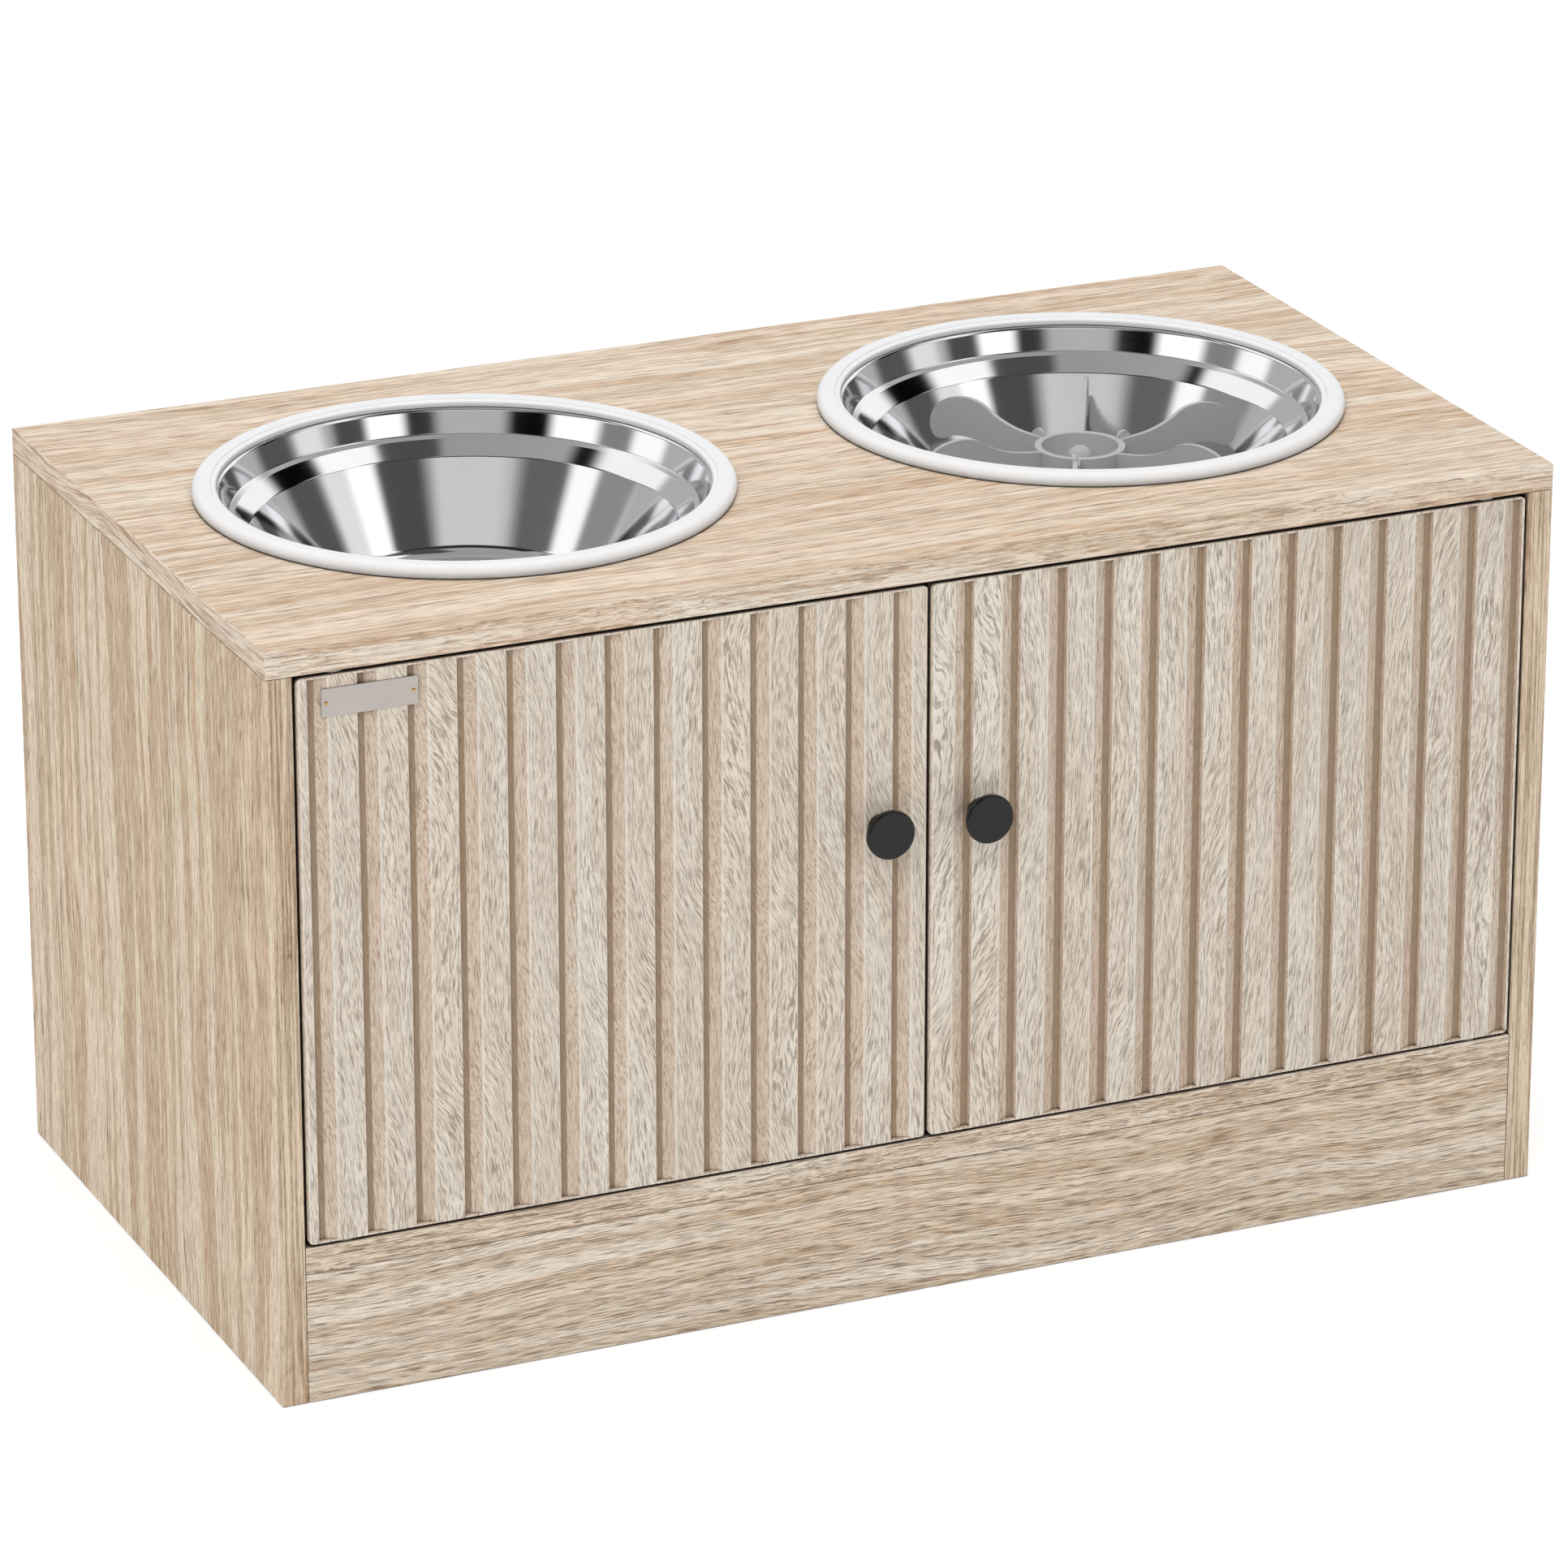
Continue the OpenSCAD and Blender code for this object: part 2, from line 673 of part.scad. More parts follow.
module fin() {
    root = [hub_r - hub_wall / 2, hub_top + fin_edge[0][1]];
    foot = [root[0], hub_top + fin_edge[len(fin_edge) - 1][1]];
    outline = spline([for (p = fin_edge) [hub_r + p[0] * (fin_reach - hub_r), hub_top + p[1]]]);
    rotate([90, 0, 0]) translate([0, 0, -fin_t / 2]) linear_extrude(fin_t)
        polygon(concat([root], outline, [foot]));
}

// Half-round lug beside a fin's root, on the side given as 1 or -1
module root_lug(side) {
    translate([hub_r + lug_r - lug_sunk, side * ((fin_t + lug_t) / 2 - lug_bite), hub_top]) rotate([90, 0, 0])
        translate([0, 0, -lug_t / 2]) intersection() {
            cylinder(h = lug_t, r = lug_r);
            translate([-lug_r, -lug_r / 2, 0]) cube([2 * lug_r, 2 * lug_r, lug_t]);
        }
}

module slow_feeder_insert() color([0.49, 0.49, 0.49]) at_bowl(1) rotate([0, 0, insert_turn]) difference() {
    union() {
        rod(hub_base, hub_top, hub_r);
        for (i = [0:fin_count - 1]) rotate([0, 0, i * 360 / fin_count]) fin();
        root_lug(1);
        for (a = [120, 240]) rotate([0, 0, a]) root_lug(-1);
    }
    rod(hub_base + hub_floor, hub_top + hub_r, hub_r - hub_wall);
    rod(hub_base - over, hub_top, hub_hole_r);
}

module suction_cup() color([0.55, 0.55, 0.55]) at_bowl(1) {
    floor_z = disc_rise - bowl_depth;
    seat = hub_base - fix_clear;
    button = hub_base + hub_floor + fix_clear;
    button_top = button + button_rise - fix_clear;
    rod(seat - over, button + stem_end, hub_hole_r - fix_clear);
    rod(button, button_top, button_r);
    translate([0, 0, button_top]) intersection() {
        sphere(r = button_r);
        rod(0, button_r + over, button_r + over);
    }
    // The neck, the bell down to its thin lip and the hollow underneath
    rotate_extrude() polygon(rounded([[0, seat, 0], [cup_neck_r, seat, 0.8], [cup_neck_r, seat - cup_neck_h, 2],
        [cup_r - cup_lip, floor_z + cup_dome, 8], [cup_r, floor_z + 1, 0.8], [cup_r, floor_z, 0.3],
        [cup_r - cup_lip + 1, floor_z, 0.3], [cup_r - 2 * cup_dome, floor_z + cup_dome, 6],
        [cup_neck_h, floor_z + cup_dome + 1, 4], [0, floor_z + cup_dome + 1, 0]], 5));
}

top_board();
left_side_panel();
right_side_panel();
bottom_shelf();
plinth_board();
back_panel();
cam_nuts();
cam_bolts();
wood_dowels();
pivot_bushings();
catch_housing();
catch_magnets();
catch_screws();
left_door();
left_door_pins();
left_knob();
left_knob_screw();
left_strike_plate();
left_strike_screw();
right_door();
right_door_pins();
right_knob();
right_knob_screw();
right_strike_plate();
right_strike_screw();
plain_bowl();
plain_bowl_ring();
feeder_bowl();
feeder_bowl_ring();
slow_feeder_insert();
suction_cup();
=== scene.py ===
"""Looks of the raised feeding station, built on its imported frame.

Sizes are in mm, apart from the floor, the lights and the camera, which are in metres.
"""

import math

import bmesh
import bpy
from mathutils import Matrix, Vector


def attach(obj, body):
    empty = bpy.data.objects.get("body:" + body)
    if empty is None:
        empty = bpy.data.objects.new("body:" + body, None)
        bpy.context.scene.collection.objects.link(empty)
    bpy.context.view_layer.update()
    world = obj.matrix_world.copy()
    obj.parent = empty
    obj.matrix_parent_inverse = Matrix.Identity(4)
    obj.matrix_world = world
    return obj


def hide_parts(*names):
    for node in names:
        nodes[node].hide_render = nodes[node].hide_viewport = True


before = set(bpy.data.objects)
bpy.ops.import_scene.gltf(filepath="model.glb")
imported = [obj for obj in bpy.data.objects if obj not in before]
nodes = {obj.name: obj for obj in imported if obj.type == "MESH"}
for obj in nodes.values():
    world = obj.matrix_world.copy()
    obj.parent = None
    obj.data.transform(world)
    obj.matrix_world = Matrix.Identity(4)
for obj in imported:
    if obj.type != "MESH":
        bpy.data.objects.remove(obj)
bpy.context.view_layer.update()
scene = bpy.context.scene
MM = 0.001          # one millimetre in Blender's metres
WHITE = (1, 1, 1, 1)
BLACK = (0, 0, 0, 1)

# Places and sizes shared with the frame
FRONT = -153.5      # front plane of the cabinet and the doors
TOP = 340.0         # upper face of the top board
BOWL_X = 148.0      # bowls' centres, left and right of the middle
BOWL_Y = 6.5
STEEL = 0.8         # the bowls' sheet
RING_SHADE = 4.6    # painted shade: the rings go from grey to white over this height above the top board

# Depths behind the front plane, from and to, of the parts of the doors' flutes, which take painted light and
# shade
FLUTE_LIP = (0.012, 0.22)
FLUTE_SLOPE = (0.3, 2.2)
FLUTE_FLOOR = (2.3, 3.0)

# The small metal plate on the left door, and the middles of its two pins
PLATE_X = (-275.7, -233.0)
PLATE_Z = (308.5, 321.0)
PLATE_FACE = 0.45       # in front of the door
PLATE_SUNK = 0.05       # into the door
PLATE_CORNER = 0.5
PLATE_EDGE = 0.15
PLATE_PINS = ((-273.6, 314.6), (-235.0, 314.8))
PIN_RADIUS = 0.9
PIN_RISE = 0.5
PIN_ROOT = 0.42         # in front of the door, so just inside the plate

# How finely round shapes are drawn
ARC_STEPS = 14
LATHE_SIDES = 180
CORNER_STEPS = 6
DOME_RINGS = 6
DOME_SIDES = 24


def srgb(r, g, b):
    """The linear colour of an 8-bit screen colour."""
    def linear(c):
        c /= 255
        return c / 12.92 if c <= 0.04045 else ((c + 0.055) / 1.055) ** 2.4
    return (linear(r), linear(g), linear(b), 1)


def palette(*colours):
    return tuple(srgb(*colour) for colour in colours)


# ---------------------------------------------------------------- node graphs

class Graph:
    """Shorthand for building one node tree. Values and sockets go in alike."""

    def __init__(self, tree):
        self.tree = tree

    def put(self, socket, value):
        if isinstance(value, bpy.types.NodeSocket):
            self.tree.links.new(value, socket)
        elif value is not None:
            socket.default_value = value

    def add(self, kind, inputs=(), **props):
        node = self.tree.nodes.new("ShaderNode" + kind)
        for name, value in props.items():
            setattr(node, name, value)
        for key, value in dict(inputs).items():
            self.put(node.inputs[key], value)
        return node

    def math(self, operation, *values):
        return self.add("Math", enumerate(values), operation=operation).outputs[0]

    def plus(self, a, b):
        return self.math("ADD", a, b)

    def times(self, a, b):
        return self.math("MULTIPLY", a, b)

    def larger(self, a, b):
        return self.math("MAXIMUM", a, b)

    def vmath(self, operation, *values):
        return self.add("VectorMath", enumerate(values), operation=operation).outputs[0]

    def xyz(self, x, y, z):
        return self.add("CombineXYZ", {0: x, 1: y, 2: z}).outputs[0]

    def split(self, vector):
        return self.add("SeparateXYZ", {0: vector}).outputs

    def scaled(self, vector, *factors):
        return self.vmath("MULTIPLY", vector, factors)

    def noise(self, vector, detail=2.0, rough=0.5):
        inputs = {"Vector": vector, "Scale": 1.0, "Detail": detail, "Roughness": rough}
        return self.add("TexNoise", inputs).outputs[0]

    def step(self, x, lo, hi, to_lo=0.0, to_hi=1.0):
        """A smooth step from to_lo at lo to to_hi at hi."""
        inputs = {0: x, 1: lo, 2: hi, 3: to_lo, 4: to_hi}
        return self.add("MapRange", inputs, interpolation_type="SMOOTHSTEP").outputs[0]

    def between(self, x, lo, hi, soft):
        """1 from lo to hi, falling to 0 over soft at both ends."""
        return self.times(self.step(x, lo - soft, lo), self.step(x, hi, hi + soft, 1.0, 0.0))

    def blend(self, factor, a, b, kind="MIX"):
        node = self.add("Mix", {0: factor, 6: a, 7: b}, data_type="RGBA", blend_type=kind)
        return node.outputs[2]

    def lerp(self, factor, a, b):
        return self.add("Mix", {0: factor, 2: a, 3: b}, data_type="FLOAT").outputs[0]

    def mixed(self, factor, a, b):
        """The shader a where factor is 0 and b where it is 1."""
        return self.add("MixShader", {0: factor, 1: a, 2: b}).outputs[0]


def material(name):
    m = bpy.data.materials.new(name)
    m.use_nodes = True
    g = Graph(m.node_tree)
    shader = m.node_tree.nodes["Principled BSDF"]
    return m, g, shader


def paint(g, shader, colour, rough, fixed=()):
    """Sets colour and roughness, each a value or a socket, and the sockets that are the same all over."""
    g.put(shader.inputs["Base Color"], colour)
    g.put(shader.inputs["Roughness"], rough)
    for name, value in dict(fixed).items():
        shader.inputs[name].default_value = value


def object_mm(g):
    """The point in the frame, in mm, which stays with the piece when it moves."""
    return g.scaled(g.add("TexCoord").outputs["Object"], 1000, 1000, 1000)


def bump(g, shader, height, strength, distance_mm):
    node = g.add("Bump", {"Strength": strength, "Distance": distance_mm * MM, "Height": height})
    g.put(shader.inputs["Normal"], node.outputs[0])


# ---------------------------------------------------------------- oak

# Each board's tones: light, middle, dark, pore and warm
TOP_TONES = palette((243, 229, 211), (227, 205, 180), (198, 168, 135), (130, 101, 76), (229, 198, 170))
SIDE_TONES = palette((242, 226, 202), (224, 200, 169), (194, 164, 129), (138, 110, 82), (226, 191, 157))
DOOR_TONES = palette((240, 231, 217), (225, 211, 194), (205, 186, 165), (117, 98, 79), (224, 201, 178))
EDGE_TONES = palette((246, 234, 218), (223, 202, 176), (187, 160, 129), (110, 89, 68), (220, 191, 159))
# The flutes' slope (a warmer tone and partly painted shade), the painted highlight on their lip, and the pale
# and dark painted shade of their floor
FLUTE_TONE_AND_PAINTED_LIGHT = palette((208, 184, 160), (240, 232, 220), (170, 148, 124), (155, 133, 110))
STRIPE_SHADE = srgb(246, 243, 240)      # takes the side panels' striped faces down a little

TOP_GRAIN = {"stroke": (1.5, 0.055), "streak": 0.5, "comb": 0.5, "marks": 0.52, "line": 0.6}
SIDE_GRAIN = {"stroke": (2.1, 0.14), "streak": 0.9, "comb": 0.4, "marks": 0.55, "line": 1.0}
EDGE_GRAIN = {"stroke": (2.0, 0.07), "streak": 0.45, "comb": 0.4, "marks": 0.75, "line": 0.6}
DOOR_GRAIN = {"stroke": (2.3, 0.15), "streak": 0.2, "comb": 0.35, "marks": 0.85, "line": 0.25}


def fluted(g, colour, depth, strokes):
    """Tints the flutes by their depth behind the doors' front: a painted highlight on the lip, painted shade on
    the floor, and a warmer tone with some painted shade on the slope.
    """
    slope_tone_and_shade, lip_highlight, floor_shade_pale, floor_shade_dark = FLUTE_TONE_AND_PAINTED_LIGHT
    # The slope: a warmer tone, partly painted shade
    slope = g.between(depth, *FLUTE_SLOPE, 0.15)
    colour = g.blend(g.times(slope, 0.45), colour, slope_tone_and_shade)
    # A painted highlight along the lip
    lip = g.between(depth, *FLUTE_LIP, 0.02)
    colour = g.blend(g.times(lip, 0.6), colour, lip_highlight)
    # Painted shade on the floor, paler and darker with the fibres
    floor_shade = g.blend(g.step(strokes, 0.35, 0.65), floor_shade_pale, floor_shade_dark)
    return g.blend(g.between(depth, *FLUTE_FLOOR, 0.12), colour, floor_shade)


def edge_stripes(g, colour, x, z, light, pore):
    """Strong, straight stripes along Z on the faces that look to the front or the back."""
    facing = g.split(g.add("TexCoord").outputs["Normal"])[1]
    narrow = g.step(g.math("ABSOLUTE", facing), 0.6, 0.8)
    stripe = g.noise(g.xyz(g.times(x, 0.95), 3.7, g.times(z, 0.012)), 2.0, 0.6)
    pale, dark = g.blend(0.45, colour, light), g.blend(0.48, colour, pore)
    shaded = g.blend(1.0, g.blend(g.step(stripe, 0.44, 0.58), pale, dark), STRIPE_SHADE, "MULTIPLY")
    return g.blend(narrow, colour, shaded)


def openness(g, reach_mm, lo, hi, darkest):
    """Painted shade: 1 on open surfaces, and darkest where other surfaces within reach_mm shut them in."""
    inputs = {"Color": WHITE, "Distance": reach_mm * MM}
    return g.step(g.add("AmbientOcclusion", inputs, samples=8).outputs["AO"], lo, hi, darkest, 1.0)


def oak(name, axes, seed, tones, wave, stroke, streak, comb, marks, line,
        swirl=0.0, lean=0.0, side_axes=None, flutes=False, striped=False):
    """Printed oak.

    axes gives the frame's axes across the grain, into the board and along the grain, and side_axes the
    same for the faces that look along X. seed moves the figure. wave bends it, swirl folds it into
    arches and lean tilts it. stroke is how often the finest fibres change across and along the grain,
    per mm. streak, comb, marks and line set how strongly the bands, the fibre bundles, the finest
    fibres and the growth lines show. flutes tints the doors' flutes and paints a highlight and shade
    into them, and striped draws straight stripes on the faces at the front and back.
    """
    m, g, shader = material(name)
    part = dict(zip("xyz", g.split(object_mm(g))))

    def turned(order, shift):
        return g.vmath("ADD", g.xyz(*(part[a] for a in order)), shift)

    p = turned(axes, seed)
    if side_axes:
        normal = g.split(g.add("TexCoord").outputs["Normal"])
        on_side = g.math("GREATER_THAN", g.math("ABSOLUTE", normal[0]), 0.7)
        other = turned(side_axes, (seed[1], seed[2], seed[0]))
        p = g.add("Mix", {0: on_side, 4: p, 5: other}, data_type="VECTOR").outputs[1]
    across, deep, along = g.split(p)

    def wander(per_mm_across, per_mm_along, size):
        """A smooth shift, size from end to end, that changes this often."""
        value = g.noise(g.scaled(p, per_mm_across, per_mm_across, per_mm_along), 1.0)
        return g.times(g.math("SUBTRACT", value, 0.5), size)

    # The figure wanders slowly along the board, and on the doors it folds over into arches
    field = g.plus(across, wander(0.010, 0.004, wave * 7))
    field = g.plus(field, wander(0.05, 0.014, wave))
    if swirl:
        field = g.plus(field, wander(0.020, 0.012, swirl))
    if lean:
        field = g.plus(field, g.times(along, lean))
    field = g.plus(field, wander(0.28, 0.16, 0.9))

    def fibres(fine, length, detail=2.0, rough=0.6, shift=0.0):
        """Noise that changes fine times per mm across the figure and length times per mm along it."""
        drawn = g.xyz(g.times(field, fine), g.times(deep, fine), g.plus(g.times(along, length), shift))
        return g.noise(drawn, detail, rough)

    light, middle, dark, pore, warm = tones
    fine, length = stroke
    broad = fibres(0.045, 0.0022)
    glow = fibres(0.06, 0.002, 1.0, 0.5, 57)
    bands = fibres(0.13, 0.003, 2.0, 0.6, 31)
    bundles = fibres(fine * 0.45, length * 0.3, 3.0, 0.6, 19)
    strokes = fibres(fine, length, 1.0, 0.5, 77)
    hairs = fibres(fine * 1.6, length * 1.4, 1.0, 0.5, 143)

    colour = g.blend(g.step(broad, 0.42, 0.58), light, middle)
    colour = g.blend(g.step(glow, 0.50, 0.54, 0.0, 0.8), colour, warm)
    for noise, weight, edge, soft in ((bands, streak, 0.52, 0.03), (bundles, comb, 0.50, 0.10)):
        colour = g.blend(g.times(g.step(noise, edge, edge + soft), weight), colour, dark)
        colour = g.blend(g.times(g.step(noise, 1 - edge, 1 - edge - soft), weight), colour, light)

    # Growth lines: long, thin and dark, where the bands' noise crosses its middle
    border = g.step(g.math("ABSOLUTE", g.math("SUBTRACT", bands, 0.5)), 0.0035, 0.010, 1.0, 0.0)
    kept = g.step(fibres(0.3, 0.012, 1.0, 0.5, 3), 0.42, 0.56)
    colour = g.blend(g.times(g.times(border, kept), line), colour, pore)

    # The finest fibres: pale ones and dark, crack-like ones
    pale = g.larger(g.step(strokes, 0.46, 0.40), g.step(hairs, 0.44, 0.38, 0.0, 0.8))
    cracks = g.larger(g.step(strokes, 0.53, 0.60), g.step(hairs, 0.55, 0.63, 0.0, 0.8))
    colour = g.blend(g.times(pale, marks * 0.7), colour, light)
    colour = g.blend(g.times(cracks, g.step(bundles, 0.32, 0.60, marks * 0.4, marks)), colour, pore)

    # Painted highlight and shade in the doors' flutes
    if flutes:
        colour = fluted(g, colour, g.math("SUBTRACT", part["y"], FRONT), strokes)
    if striped:
        colour = edge_stripes(g, colour, part["x"], part["z"], light, pore)

    # Painted shadow darkens the gaps between the boards, and the narrower seams too
    shade = g.times(openness(g, 7.0, 0.14, 0.42, 0.08), openness(g, 1.0, 0.42, 0.82, 0.35))
    rough = g.plus(g.times(cracks, 0.1), g.step(bundles, 0.3, 0.7, 0.5, 0.62))
    paint(g, shader, g.blend(shade, BLACK, colour), rough, {"Specular IOR Level": 0.3})
    bump(g, shader, g.plus(g.times(cracks, -0.6), g.times(bundles, 0.6)), 0.5, 0.1)
    return m


# ---------------------------------------------------------------- other materials

def zinc():
    m, g, shader = material("zinc_plate")
    p = object_mm(g)
    cloud = g.noise(g.scaled(p, 0.35, 0.35, 0.35), 3.0, 0.6)
    scratch = g.noise(g.scaled(p, 2.5, 0.3, 6.0), 2.0)
    colour = g.blend(cloud, srgb(176, 178, 182), srgb(205, 206, 208))
    rough = g.plus(g.step(cloud, 0.2, 0.8, 0.26, 0.42), g.times(scratch, 0.08))
    paint(g, shader, colour, rough, {"Metallic": 1.0})
    bump(g, shader, scratch, 0.2, 0.03)
    return m


def steel():
    """Mirror-polished stainless steel with the faint rings that spinning leaves."""
    m, g, shader = material("polished_steel")
    p = object_mm(g)
    x, y, z = g.split(p)
    side = g.math("SIGN", x)
    dx = g.math("SUBTRACT", x, g.times(side, BOWL_X))
    dy = g.math("SUBTRACT", y, BOWL_Y)
    radius = g.math("SQRT", g.plus(g.times(dx, dx), g.times(dy, dy)))
    spin = g.noise(g.xyz(g.times(radius, 2.2), g.times(z, 2.2), side), 3.0, 0.7)
    haze = g.noise(g.scaled(p, 0.03, 0.03, 0.05), 2.0)
    colour = g.blend(haze, srgb(226, 227, 229), srgb(236, 236, 237))
    rough = g.plus(g.step(haze, 0.2, 0.8, 0.05, 0.075), g.times(spin, 0.04))
    paint(g, shader, colour, rough, {"Metallic": 1.0})
    bump(g, shader, spin, 0.05, 0.01)
    return m


def silicone():
    """Soft white silicone, with painted shade that makes it greyer where it meets the top board."""
    m, g, shader = material("white_silicone")
    p = object_mm(g)
    cloud = g.noise(g.scaled(p, 0.05, 0.05, 0.05), 2.0)
    grain = g.noise(g.scaled(p, 3.0, 3.0, 3.0), 2.0)
    white = g.blend(cloud, srgb(236, 237, 239), srgb(243, 243, 244))
    # Painted shade: grey at the foot of the ring, by the top board, rising to white
    height = g.step(g.split(p)[2], TOP, TOP + RING_SHADE)
    colour = g.blend(height, srgb(184, 189, 193), white)
    paint(g, shader, colour, g.step(grain, 0.2, 0.8, 0.42, 0.55), {
        "Subsurface Weight": 0.12,
        "Subsurface Radius": (4 * MM, 4 * MM, 4 * MM),
        "Subsurface Scale": 0.6,
        "Specular IOR Level": 0.45,
    })
    bump(g, shader, grain, 0.08, 0.03)
    return m


def moulded(name, low, high, rough):
    """Moulded plastic with a fine spark texture."""
    m, g, shader = material(name)
    p = object_mm(g)
    cloud = g.noise(g.scaled(p, 0.06, 0.06, 0.06), 2.0)
    grain = g.noise(g.scaled(p, 1.6, 1.6, 1.6), 2.0, 0.6)
    tone = g.plus(g.times(cloud, 0.75), g.times(grain, 0.25))
    paint(g, shader, g.blend(tone, low, high), g.step(grain, 0.25, 0.75, rough - 0.06, rough + 0.06))
    bump(g, shader, grain, 0.12, 0.05)
    return m


def black_gloss():
    m, g, shader = material("black_gloss")
    p = object_mm(g)
    smear = g.noise(g.scaled(p, 0.12, 0.12, 0.3), 3.0, 0.6)
    colour = g.blend(smear, srgb(20, 20, 21), srgb(27, 27, 28))
    paint(g, shader, colour, g.step(smear, 0.3, 0.8, 0.08, 0.16), {"Specular IOR Level": 0.32})
    bump(g, shader, g.noise(g.scaled(p, 0.4, 0.4, 0.4), 1.0), 0.05, 0.05)
    return m


def beech():
    m, g, shader = material("beech")
    grain = g.noise(g.scaled(object_mm(g), 0.9, 0.9, 0.12), 3.0, 0.6)
    paint(g, shader, g.blend(grain, srgb(222, 194, 150), srgb(196, 162, 116)), 0.62)
    bump(g, shader, grain, 0.3, 0.1)
    return m


def ferrite():
    m, g, shader = material("ferrite")
    grain = g.noise(g.scaled(object_mm(g), 2.0, 2.0, 2.0), 3.0, 0.7)
    paint(g, shader, g.blend(grain, srgb(52, 52, 55), srgb(84, 84, 88)), 0.6)
    bump(g, shader, grain, 0.3, 0.1)
    return m


def brushed(name, low, high, rough):
    """Metal brushed along X."""
    m, g, shader = material(name)
    p = object_mm(g)
    hair = g.noise(g.scaled(p, 0.25, 1.0, 7.0), 3.0, 0.7)
    cloud = g.noise(g.scaled(p, 0.05, 0.05, 0.05), 1.0)
    colour = g.blend(g.plus(g.times(hair, 0.6), g.times(cloud, 0.4)), low, high)
    paint(g, shader, colour, g.step(hair, 0.2, 0.8, rough - 0.05, rough + 0.08), {"Metallic": 1.0})
    bump(g, shader, hair, 0.15, 0.02)
    return m


# ---------------------------------------------------------------- finishes of the frame's pieces

def finish(made, *names):
    """Gives the frame's named pieces the material made."""
    for name in names:
        for slot in nodes[name].material_slots:
            slot.material = made


finish(oak("oak_top", "yzx", (13, 40, 7), TOP_TONES, wave=5, side_axes="zxy", **TOP_GRAIN), "top_board")
finish(oak("oak_left_side", "yxz", (210, 5, 66), SIDE_TONES, wave=4, striped=True, **SIDE_GRAIN),
       "left_side_panel")
finish(oak("oak_right_side", "yxz", (520, 9, 310), SIDE_TONES, wave=4, striped=True, **SIDE_GRAIN),
       "right_side_panel")
finish(oak("oak_shelf", "yzx", (77, 91, 400), EDGE_TONES, wave=5, side_axes="zxy", **EDGE_GRAIN),
       "bottom_shelf")
finish(oak("oak_plinth", "zyx", (333, 21, 120), EDGE_TONES, wave=4, **EDGE_GRAIN), "plinth_board")
finish(oak("oak_back", "xyz", (640, 55, 18), SIDE_TONES, wave=6, **SIDE_GRAIN), "back_panel")
for side, seed, lean in (("left", (90, 33, 250), 0.14), ("right", (-410, 71, 730), -0.08)):
    finish(oak("oak_%s_door" % side, "xyz", seed, DOOR_TONES, wave=9, swirl=22, lean=lean, flutes=True,
               **DOOR_GRAIN), side + "_door")

zinc_plate = zinc()
finish(zinc_plate, "cam_nuts", "cam_bolts", "catch_screws")
for side in ("left", "right"):
    finish(zinc_plate, side + "_door_pins", side + "_knob_screw", side + "_strike_plate", side + "_strike_screw")
finish(moulded("white_nylon", srgb(222, 221, 214), srgb(236, 235, 230), 0.45),
       "pivot_bushings", "catch_housing")
finish(ferrite(), "catch_magnets")
finish(beech(), "wood_dowels")
finish(black_gloss(), "left_knob", "right_knob")
finish(silicone(), "plain_bowl_ring", "feeder_bowl_ring")
finish(moulded("grey_plastic", srgb(180, 180, 181), srgb(190, 190, 191), 0.42), "slow_feeder_insert")
finish(moulded("grey_rubber", srgb(176, 176, 177), srgb(186, 186, 187), 0.4), "suction_cup")


# ---------------------------------------------------------------- new pieces

def mesh_piece(name, points, faces, made, body, smooth=True):
    mesh = bpy.data.meshes.new(name)
    mesh.from_pydata([tuple(c * MM for c in p) for p in points], [], faces)
    mesh.validate()
    obj = bpy.data.objects.new(name, mesh)
    scene.collection.objects.link(obj)
    mesh.materials.append(made)
    for f in mesh.polygons:
        f.use_smooth = smooth
    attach(obj, body)
    return obj


def rounded_box(name, lo, hi, corner, edge, made, body):
    """A plate in the XZ plane with rounded corners and softened front edges; its front looks along -Y."""
    (x0, y0, z0), (x1, y1, z1) = lo, hi
    knee = edge * 0.3
    loops = []
    for inset, y in ((0.0, y1), (0.0, y0 + edge), (knee, y0 + knee), (edge, y0)):
        loop = []
        r = corner - inset
        for cx, cz, start in ((x1 - corner, z1 - corner, 0), (x0 + corner, z1 - corner, 90),
                              (x0 + corner, z0 + corner, 180), (x1 - corner, z0 + corner, 270)):
            for k in range(CORNER_STEPS + 1):
                a = math.radians(start + 90 * k / CORNER_STEPS)
                loop.append((cx + r * math.cos(a), y, cz + r * math.sin(a)))
        loops.append(loop)
    n = len(loops[0])
    points = [p for loop in loops for p in loop]
    faces = [tuple(reversed(range(n)))]
    for k in range(len(loops) - 1):
        for i in range(n):
            j = (i + 1) % n
            faces.append((k * n + i, k * n + j, (k + 1) * n + j, (k + 1) * n + i))
    faces.append(tuple(range((len(loops) - 1) * n, len(loops) * n)))
    return mesh_piece(name, points, faces, made, body, smooth=False)


def domes(name, centres, radius, rise, y, made, body):
    """Low round-headed pins on a face that looks along -Y."""
    tip = 0.02      # radius of the small flat at the top of each
    points, faces = [], []
    for cx, cz in centres:
        base = len(points)
        for k in range(DOME_RINGS + 1):
            a = math.radians(90 * k / DOME_RINGS)
            out = radius * math.cos(a) if k < DOME_RINGS else tip
            for i in range(DOME_SIDES):
                t = 2 * math.pi * i / DOME_SIDES
                points.append((cx + out * math.cos(t), y - rise * math.sin(a), cz + out * math.sin(t)))
        for k in range(DOME_RINGS):
            ring, following = base + k * DOME_SIDES, base + (k + 1) * DOME_SIDES
            for i in range(DOME_SIDES):
                j = (i + 1) % DOME_SIDES
                faces.append((ring + i, following + i, following + j, ring + j))
        faces.append(tuple(base + DOME_RINGS * DOME_SIDES + i for i in reversed(range(DOME_SIDES))))
        faces.append(tuple(base + i for i in range(DOME_SIDES)))
    return mesh_piece(name, points, faces, made, body)


